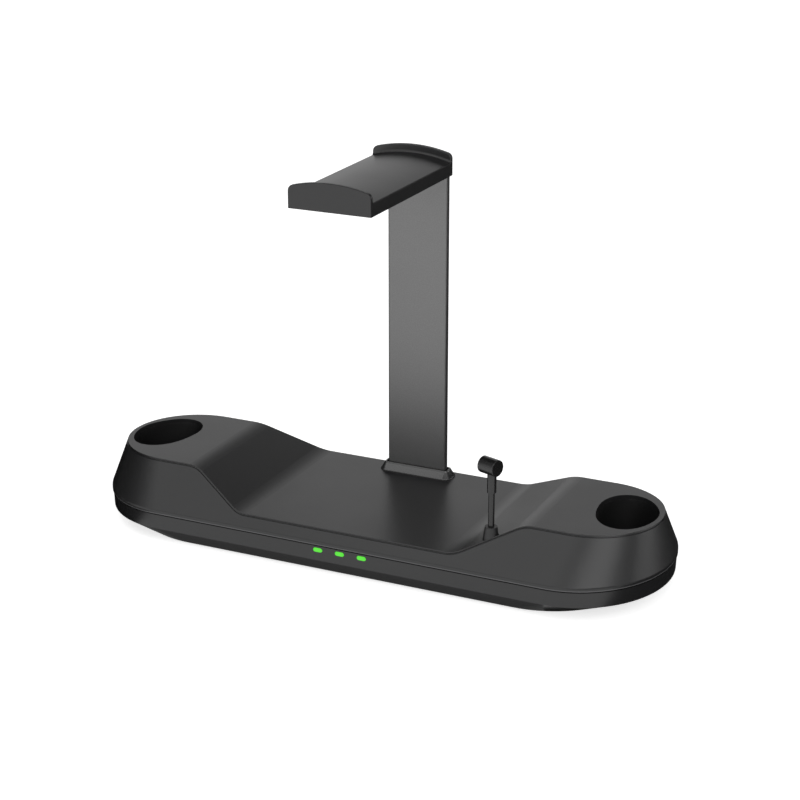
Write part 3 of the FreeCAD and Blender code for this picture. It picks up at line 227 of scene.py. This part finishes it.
# %% The lamps
LAMPS = (
    # name, round and up in degrees, metres away, watts, width, height
    ("lamp_right", -48.0, 34.0, 3.2, 33.0, 3.20, 2.00),
    ("lamp_left", -126.0, 58.0, 3.2, 11.5, 2.60, 1.80),
)
AIM = Vector((0, 0, 0.05))


def direction(around, upward):
    """A unit vector from degrees round the stand (0 = right, 90 = behind) and degrees up."""
    around, upward = math.radians(around), math.radians(upward)
    return Vector((
        math.cos(upward) * math.cos(around), math.cos(upward) * math.sin(around),
        math.sin(upward)))


def add_lamp(name, around, upward, away, watts, width, height):
    """A soft rectangular lamp that faces the middle of the stand."""
    data = bpy.data.lights.new(name, "AREA")
    data.shape = "RECTANGLE"
    data.size = width
    data.size_y = height
    data.energy = watts
    lamp = bpy.data.objects.new(name, data)
    lamp.location = AIM + direction(around, upward) * away
    lamp.rotation_euler = direction(around, upward).to_track_quat("Z", "Y").to_euler()
    scene.collection.objects.link(lamp)


for lamp_row in LAMPS:
    add_lamp(*lamp_row)
print(len(LAMPS), "lamps")

# %% [markdown]
# ## Cards and cloths
#
# Gloss shows whatever stands opposite it, so in an all white room a black
# object turns milky. Photographers put cards and cloths just out of the
# picture: a white card gives a face something bright to reflect, a grey one
# less, and a black cloth keeps it dark. Here they are curved sheets on a large
# sphere round the stand and a few flat ones on the table, each with its own
# tone, and a tone over 1 is a card with a light on it. Only reflections see
# them: they light nothing and throw no shadow.

# %% Cards and cloths
SHEETS = (
    # name, degrees round from and to, degrees up from and to, tone (0 black, 1 white)
    ("card_front", -150, 0, 19, 49, 0.85),
    ("card_front_low", -150, -75, -1, 19, 1.30),
    ("cloth_front_right", -75, 0, -1, 19, 0.0),
    ("card_right_low", 0, 60, -1, 19, 1.50),
    ("cloth_right", 0, 60, 19, 49, 0.0),
    ("cloth_back_right", 60, 90, -1, 49, 0.0),
    ("card_back", 90, 135, -1, 34, 0.75),
    ("cloth_back_high", 90, 135, 34, 49, 0.0),
    ("cloth_back_left", 135, 195, -1, 49, 0.0),
    ("cloth_left", 195, 210, -1, 49, 0.10),
    ("card_ceiling", -165, 30, 49, 89, 0.65),
    ("cloth_ceiling", 30, 195, 49, 89, 0.0),
)
SHEET_REACH = 3.5
SHEET_STEP = 5
TABLE_SHEETS = (
    # name, left, right, front, back, tone
    ("cloth_table_right", 0.12, 3.0, -0.055, 3.0, 0.02),
    ("cloth_table_back", -3.0, 0.12, 0.05, 3.0, 0.0),
    ("cloth_table_left", -3.0, -0.15, -0.11, 0.05, 0.0),
    ("cloth_table_under", -0.15, 0.12, -0.062, 0.05, 0.20),
)
SHEET_LIFT = 0.5 * MM


def sheet_paint(tone):
    """An even tone that needs no lamp."""
    name = "sheet_%03d" % round(100 * tone)
    if name in bpy.data.materials:
        return bpy.data.materials[name]
    material, tree = new_material(name)
    even = add_node(tree, "ShaderNodeEmission", Color=WHITE, Strength=tone)
    add_node(tree, "ShaderNodeOutputMaterial", Surface=even.outputs[0])
    return material


def put_up(name, points, faces, tone):
    """Make a sheet that only reflections see."""
    sheet = new_piece(name, points, faces)
    sheet.data.materials.append(sheet_paint(tone))
    sheet.visible_camera = False
    sheet.visible_diffuse = False
    sheet.visible_transmission = False
    sheet.visible_volume_scatter = False
    sheet.visible_shadow = False


def hang_sheet(name, around_from, around_to, up_from, up_to, tone):
    """A curved sheet, as a grid of points on the big sphere."""
    arounds = range(around_from, around_to + 1, SHEET_STEP)
    ups = range(up_from, up_to + 1, SHEET_STEP)
    points = [direction(a, u) * SHEET_REACH for u in ups for a in arounds]
    across = len(arounds)
    faces = [
        (r * across + c, r * across + c + 1, (r + 1) * across + c + 1, (r + 1) * across + c)
        for r in range(len(ups) - 1) for c in range(across - 1)]
    put_up(name, points, faces, tone)


def lay_sheet(name, left, right, front, back, tone):
    """A flat sheet on the table."""
    points = [
        (left, front, SHEET_LIFT), (right, front, SHEET_LIFT), (right, back, SHEET_LIFT),
        (left, back, SHEET_LIFT)]
    put_up(name, points, [(0, 1, 2, 3)], tone)


for sheet_row in SHEETS:
    hang_sheet(*sheet_row)
for sheet_row in TABLE_SHEETS:
    lay_sheet(*sheet_row)
print(len(SHEETS), "sheets hung,", len(TABLE_SHEETS), "laid")

# %% [markdown]
# ## Moulded black plastic
#
# The base, the collar and the tray are moulded in black ABS from a mould with
# a fine spark-eroded texture. It is not a flat black: the grain scatters the
# light, so the sheen is wide and soft, its strength wanders a little from
# place to place, and handling polishes the edges. One recipe serves all of
# it. Fine noise at about 0.4 mm makes the grain, a slow noise varies the
# sheen, and the Bevel node rounds the sharp edges of the model in the shading,
# as a mould always does.

# %% The grain and the edges
GRAIN_PER_METRE = 2600.0
GRAIN_HEIGHT = 0.05 * MM
GRAIN_TONES = (0.90, 1.10)
CLOUDS_PER_METRE = 28.0
SHEEN_WANDER = 0.03
EDGE_SMOOTHER = 0.04
OPEN_AGREEMENT = 0.999
EDGE_AGREEMENT = 0.93
BEVEL_SAMPLES = 4


def tones(colour, *factors):
    """The colour, darker or lighter by each factor."""
    return [tuple(part * factor for part in colour) for factor in factors]


def rounded_edges(tree, radius):
    """The surface's direction with its edges rounded, by a radius in mm."""
    return add_node(
        tree, "ShaderNodeBevel", {"samples": BEVEL_SAMPLES}, Radius=radius * MM).outputs[0]


# %% [markdown]
# Where that rounded direction leaves the surface's own, there is an edge, and
# there the plastic is a little smoother and lighter, as wear. The side wall has
# no lighter edges. Everything on it lower than a given height, just over the
# seam, is lighter instead: a painted highlight in place of a glint along the
# wall's lower edge.

# %% Moulded plastic


def edge_mask(tree, rounded):
    """0 on open surfaces and 1 along edges, from the Bevel node's direction."""
    own = add_node(tree, "ShaderNodeNewGeometry")
    agree = add_node(tree, "ShaderNodeVectorMath", {"operation": "DOT_PRODUCT"})
    feed(tree, agree.inputs[0], rounded)
    feed(tree, agree.inputs[1], own.outputs["Normal"])
    return stretch(tree, agree.outputs["Value"], OPEN_AGREEMENT, EDGE_AGREEMENT)


def height_mask(tree, where, height):
    """1 below a height in mm and 0 above it."""
    parts = add_node(tree, "ShaderNodeSeparateXYZ", Vector=where)
    return compute(tree, "LESS_THAN", parts.outputs["Z"], height * MM)


def plastic(name, colour, sheen, grain, gloss=0.5, edge=0.25, wear_and_highlight_factor=1.5, painted_highlight_below=None):
    """Moulded plastic: colour, roughness, grain depth, reflection and edge round (mm).

    Handling lightens edges by a factor; given a height (mm), all under it is lighter: painted
    highlight.
    """
    material, tree = new_material(name)
    where = add_node(tree, "ShaderNodeTexCoord").outputs["Object"]
    cloud = add_node(tree, "ShaderNodeTexNoise", Vector=where, Scale=CLOUDS_PER_METRE, Detail=3.0)
    speck = add_node(tree, "ShaderNodeTexNoise", Vector=where, Scale=GRAIN_PER_METRE, Detail=2.0)
    rounded = rounded_edges(tree, edge)
    # Along edges this is wear; with a height given, it is a painted highlight under that height.
    wear_and_highlight_mask = edge_mask(tree, rounded) if painted_highlight_below is None else height_mask(tree, where, painted_highlight_below)
    dark, light, wear_and_highlight_colour = tones(colour, *GRAIN_TONES, wear_and_highlight_factor)
    tint = add_node(
        tree, "ShaderNodeMixRGB", Fac=speck.outputs["Fac"], Color1=dark, Color2=light)
    skin_colour = add_node(
        tree, "ShaderNodeMixRGB", Fac=wear_and_highlight_mask, Color1=tint.outputs["Color"], Color2=wear_and_highlight_colour)
    wander = stretch(
        tree, cloud.outputs["Fac"], 0.0, 1.0, sheen - SHEEN_WANDER, sheen + SHEEN_WANDER)
    bump = add_node(
        tree, "ShaderNodeBump", Height=speck.outputs["Fac"], Strength=grain,
        Distance=GRAIN_HEIGHT, Normal=rounded)
    skin = add_node(
        tree, "ShaderNodeBsdfPrincipled", Base_Color=skin_colour.outputs["Color"],
        Roughness=compute(tree, "MULTIPLY_ADD", wear_and_highlight_mask, -EDGE_SMOOTHER, wander),
        Specular_IOR_Level=gloss, Normal=bump.outputs[0])
    add_node(tree, "ShaderNodeOutputMaterial", Surface=skin.outputs[0])
    return material


# %% [markdown]
# The moulded pieces differ in how deep their black is and how much they
# shine. The cups swallow light, the collar has been handled and shines, and
# the lead is smooth. The side wall has a painted highlight just over the seam,
# and the near-black of the tube in the shells' joint is painted shadow.

# %% The plastics
BLACK = (0.0140, 0.0140, 0.0145)
LOWER_BLACK = (0.0120, 0.0120, 0.0125)
CUP_BLACK = (0.0052, 0.0052, 0.0054)
LEAD_BLACK = (0.0100, 0.0100, 0.0100)
COLLAR_BLACK = (0.0220, 0.0220, 0.0225)
# The tube in the shells' joint is near-black: a painted shadow.
SHADOW_GAP_BLACK = (0.002, 0.002, 0.002)
# The side wall is lighter under this height (mm): a painted highlight just over the seam.
PAINTED_HIGHLIGHT_TOP = 19.4
FINISHES = {
    "textured_black": plastic("textured_black", BLACK, 0.33, 0.20, edge=0.12),
    "tray_black": plastic("tray_black", BLACK, 0.33, 0.20, edge=0.45),
    "wall_black": plastic(
        "wall_black", BLACK, 0.33, 0.20, edge=0.35, wear_and_highlight_factor=6.0, painted_highlight_below=PAINTED_HIGHLIGHT_TOP),
    "lower_black": plastic("lower_black", LOWER_BLACK, 0.33, 0.20, edge=0.12),
    "cup_black": plastic("cup_black", CUP_BLACK, 0.40, 0.08, gloss=0.9, edge=0.12),
    "collar_black": plastic("collar_black", COLLAR_BLACK, 0.26, 0.08, gloss=0.9, edge=0.1),
    "lead_black": plastic("lead_black", LEAD_BLACK, 0.27, 0.03, edge=0.1),
    "shadow_gap_black": plastic("shadow_gap_black", SHADOW_GAP_BLACK, 0.7, 0.1, gloss=0.1, edge=0.05),
    "rubber_black": plastic("rubber_black", BLACK, 0.42, 0.30, gloss=0.45, edge=0.15),
}
print(sorted(FINISHES))

# %% [markdown]
# ## Metals
#
# The upright is a flat aluminium bar, blasted with fine beads and anodised
# black. It reflects like a metal, only darker and without any clear image:
# towards the top it picks up the pale table, and near its foot the black
# base. The same recipe with other colours serves the galvanised and gilded
# parts inside, so that the stand can be opened up and still look right.

# %% Metals
METAL_CLOUDS_PER_METRE = 24.0
METAL_WANDER = 0.02
METAL_GRAIN = 0.5


def metal(name, colour, sheen, speck_size, spread, edge=0.2):
    """Blasted or plated metal: speck size and edge round in mm, spread of tone as a share."""
    material, tree = new_material(name)
    where = add_node(tree, "ShaderNodeTexCoord").outputs["Object"]
    speck = add_node(
        tree, "ShaderNodeTexNoise", Vector=where, Scale=1.0 / (speck_size * MM), Detail=2.0)
    cloud = add_node(
        tree, "ShaderNodeTexNoise", Vector=where, Scale=METAL_CLOUDS_PER_METRE, Detail=2.0)
    dark, light = tones(colour, 1.0 - spread, 1.0 + spread)
    tint = add_node(
        tree, "ShaderNodeMixRGB", Fac=speck.outputs["Fac"], Color1=dark, Color2=light)
    wander = stretch(
        tree, cloud.outputs["Fac"], 0.0, 1.0, sheen - METAL_WANDER, sheen + METAL_WANDER)
    bump = add_node(
        tree, "ShaderNodeBump", Height=speck.outputs["Fac"], Strength=METAL_GRAIN,
        Distance=GRAIN_HEIGHT, Normal=rounded_edges(tree, edge))
    skin = add_node(
        tree, "ShaderNodeBsdfPrincipled", Base_Color=tint.outputs["Color"], Metallic=1.0,
        Roughness=wander, Normal=bump.outputs[0])
    add_node(tree, "ShaderNodeOutputMaterial", Surface=skin.outputs[0])
    return material


FINISHES["anodised_black"] = metal("anodised_black", (0.17, 0.17, 0.17), 0.45, 0.6, 0.25, edge=1.3)
FINISHES["zinc"] = metal("zinc", (0.45, 0.45, 0.46), 0.35, 4.0, 0.20)
FINISHES["gold"] = metal("gold", (0.83, 0.62, 0.26), 0.25, 0.3, 0.10)
FINISHES["black_steel"] = metal("black_steel", (0.12, 0.12, 0.125), 0.40, 0.3, 0.25)
print(len(FINISHES), "finishes")

# %% [markdown]
# ## Boards and lit windows
#
# A circuit board is green varnish over copper lines, so its recipe lays fine
# paler stripes under a gloss. The three windows are clear plastic with a
# green lamp behind each. A lit window is brighter in its middle than at its
# ends, which a soft ball of brightness across the piece's own box gives.

# %% Board
VARNISH_SHEEN = 0.3
COPPER_LINES = 180.0


def board(name, varnish, line):
    """Green varnish with the copper lines showing through as stripes."""
    material, tree = new_material(name)
    where = add_node(tree, "ShaderNodeTexCoord").outputs["Object"]
    stripes = add_node(
        tree, "ShaderNodeTexWave", Vector=where, Scale=COPPER_LINES, Distortion=2.0, Detail=1.0)
    tint = add_node(
        tree, "ShaderNodeMixRGB", Fac=stripes.outputs["Fac"], Color1=varnish, Color2=line)
    skin = add_node(
        tree, "ShaderNodeBsdfPrincipled", Base_Color=tint.outputs["Color"],
        Roughness=VARNISH_SHEEN)
    add_node(tree, "ShaderNodeOutputMaterial", Surface=skin.outputs[0])
    return material


FINISHES["board_green"] = board("board_green", (0.012, 0.085, 0.035), (0.030, 0.150, 0.055))
print("board_green")

# %% Window
BOX_MIDDLE = (0.5, 0.5, 0.5)
BRIGHT_TO = 0.25
FADED_FROM = 0.75


def lit_window(name, middle, end):
    """Light through a small window: one colour in the middle, a deeper one at the ends."""
    material, tree = new_material(name)
    box = add_node(tree, "ShaderNodeTexCoord").outputs["Generated"]
    from_middle = add_node(tree, "ShaderNodeVectorMath", {"operation": "DISTANCE"})
    feed(tree, from_middle.inputs[0], box)
    feed(tree, from_middle.inputs[1], BOX_MIDDLE)
    fade = stretch(tree, from_middle.outputs["Value"], BRIGHT_TO, FADED_FROM)
    glow = add_node(tree, "ShaderNodeMixRGB", Fac=fade, Color1=middle, Color2=end)
    skin = add_node(
        tree, "ShaderNodeBsdfPrincipled", Base_Color=(0.01, 0.06, 0.01),
        Roughness=VARNISH_SHEEN, Emission_Color=glow.outputs["Color"], Emission_Strength=1.0)
    add_node(tree, "ShaderNodeOutputMaterial", Surface=skin.outputs[0])
    return material


FINISHES["green_window"] = lit_window("green_window", (0.12, 0.95, 0.02), (0.05, 0.55, 0.015))
print("green_window")

# %% [markdown]
# ## The collar at the upright's foot
#
# The construction's collar is plainer than the one in the picture, so this
# one is made here and stands in for it. It is a stack of rounded rectangles,
# each a little higher or smaller than the last: the foot, its soft edge, the
# long slope, the rim and then down into the narrow gap round the bar. Joining
# each outline to the next gives the surface.

# %% The collar's sizes
BAR_HALF = (18.6, 2.2)
COLLAR_TALL = 4.8
COLLAR_RINGS = (
    # beyond the bar's edges and faces, corner radius, height, all in mm
    (4.60, 4.35, 4.6, 0.0),
    (4.60, 4.35, 4.6, 0.45),
    (4.48, 4.23, 4.5, 0.66),
    (4.20, 3.95, 4.3, 0.85),
    (2.45, 1.85, 2.2, 3.85),
    (2.15, 1.60, 2.0, 4.10),
    (2.05, 1.52, 1.9, 4.50),
    (1.95, 1.45, 1.8, 4.72),
    (1.75, 1.30, 1.6, 4.80),
    (1.20, 1.05, 1.4, 4.80),
    (1.05, 0.95, 1.3, 4.65),
    (0.95, 0.90, 1.3, 3.20),
    (0.05, 0.05, 0.9, 3.20),
)
CORNER_STEPS = 8
CRISP_ANGLE = math.radians(50)
collar_low, collar_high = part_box("upright_collar")
collar_foot = (collar_low + collar_high) / 2
collar_foot.z = collar_high.z - COLLAR_TALL * MM
print("the collar stands at", [round(v, 4) for v in collar_foot])

# %% The collar


def rounded_rectangle(half_wide, half_deep, corner, height):
    """The outline as points, anticlockwise, with the same number of points each time."""
    points = []
    for quarter, (sx, sy) in enumerate(((1, 1), (-1, 1), (-1, -1), (1, -1))):
        for step in range(CORNER_STEPS + 1):
            turn = math.radians(90 * (quarter + step / CORNER_STEPS))
            points.append(collar_foot + MM * Vector((
                sx * (half_wide - corner) + corner * math.cos(turn),
                sy * (half_deep - corner) + corner * math.sin(turn), height)))
    return points


def stack_of_rings(name, rings):
    """Join each ring to the next and close both ends."""
    count = len(rings[0])
    points = [point for ring in rings for point in ring]
    faces = [
        (r * count + c, r * count + (c + 1) % count,
         (r + 1) * count + (c + 1) % count, (r + 1) * count + c)
        for r in range(len(rings) - 1) for c in range(count)]
    faces.append(tuple(reversed(range(count))))
    faces.append(tuple(range(len(points) - count, len(points))))
    piece = new_piece(name, points, faces)
    piece.data.shade_smooth()
    piece.data.set_sharp_from_angle(angle=CRISP_ANGLE)
    return piece


collar = stack_of_rings("soft_collar", [
    rounded_rectangle(BAR_HALF[0] + beside, BAR_HALF[1] + ahead, corner, height)
    for beside, ahead, corner, height in COLLAR_RINGS])
collar.data.materials.append(FINISHES["collar_black"])
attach(collar, "root")
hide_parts("upright_collar")
print("collar", len(collar.data.polygons), "faces")

# %% [markdown]
# ## The seam between the two shells
#
# The base is two mouldings, and where they meet a thin line of shade runs.
# That shade is painted in as a near-black closed tube about 0.7 mm thick, in
# the corner under the upper shell's lower edge: a painted shadow. The edge is
# found by drawing a line tight round all the shell's points at that height.

# %% The seam
PARTING_HEIGHT = 18.8
PARTING_NEAR = 0.05
# The near-black tube that paints the shadow in the shells' joint, sizes in mm.
SHADOW_GAP_RADIUS = 0.36
SHADOW_GAP_INWARD = 0.37
SHADOW_GAP_DOWN = 0.38
SHADOW_GAP_SIDES = 8
UP = Vector((0, 0, 1))


def outer_edge(node, height, near):
    """The outermost points of a node near a height, in order: a line drawn tight round them."""
    level = [Vector(v.co) for v in node.data.vertices if abs(v.co.z - height * MM) < near * MM]
    return [level[i] for i in geometry.convex_hull_2d([p.xy for p in level])]


def outward_at(path, i):
    """The level direction that points out of a closed path at one of its points."""
    along = (path[(i + 1) % len(path)] - path[i - 1]).normalized()
    outward = Vector((along.y, -along.x, 0))
    return outward if outward.dot(path[i]) > 0 else -outward


def closed_tube(name, path, radius, sides, inward, down):
    """A tube along a closed, nearly level path, moved inward and down from it (mm)."""
    points, faces = [], []
    for i, p in enumerate(path):
        outward = outward_at(path, i)
        middle = p - (outward * inward + UP * down) * MM
        this, after = i * sides, (i + 1) % len(path) * sides
        for k in range(sides):
            turn = 2 * math.pi * k / sides
            points.append(middle + radius * MM * (outward * math.cos(turn) + UP * math.sin(turn)))
            beside = (k + 1) % sides
            faces.append((this + k, after + k, after + beside, this + beside))
    piece = new_piece(name, points, faces)
    piece.data.shade_smooth()
    return piece


rim = outer_edge(nodes["upper_shell"], PARTING_HEIGHT, PARTING_NEAR)
shadow_gap = closed_tube("shell_shadow_gap", rim, SHADOW_GAP_RADIUS, SHADOW_GAP_SIDES, SHADOW_GAP_INWARD, SHADOW_GAP_DOWN)
shadow_gap.data.materials.append(FINISHES["shadow_gap_black"])
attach(shadow_gap, "root")
print("shadow_gap", len(rim), "points along,", len(shadow_gap.data.polygons), "faces")

# %% [markdown]
# ## Dressing the pieces
#
# Every other piece keeps the shape that the construction gave it and gets its
# finish here. A table from finish to pieces is easier to check than a line
# for each piece, and the last line printed says whether one was forgotten.

# %% Dress the pieces
DRESS = {
    "textured_black": ("top_cover",),
    "tray_black": ("headset_tray",),
    "wall_black": ("upper_shell",),
    "cup_black": ("left_controller_cup", "right_controller_cup"),
    "lower_black": ("lower_shell", "tray_lower_plate", "left_contact_block", "right_contact_block"),
    "anodised_black": ("upright",),
    "green_window": ("left_light", "centre_light", "right_light"),
    "lead_black": ("connector_lead", "connector_sleeve", "connector_head"),
    "rubber_black": (
        "connector_boot", "front_left_foot", "front_right_foot", "rear_left_foot",
        "rear_right_foot"),
    "board_green": ("main_board", "power_board", "left_contact_board", "right_contact_board"),
    "zinc": (
        "ballast_plate", "upright_bracket", "power_socket", "connector_magnet", "status_lamps"),
    "gold": ("left_contact_strips", "right_contact_strips", "connector_insert"),
    "black_steel": (
        "case_screws", "bracket_bolts", "upright_bolts", "tray_screws", "board_screws",
        "contact_screws"),
}
for finish, names in DRESS.items():
    for name in names:
        nodes[name].data.materials.clear()
        nodes[name].data.materials.append(FINISHES[finish])
dressed = {name for names in DRESS.values() for name in names}
print("dressed", len(dressed), "undressed", sorted(set(nodes) - dressed - {"upright_collar"}))
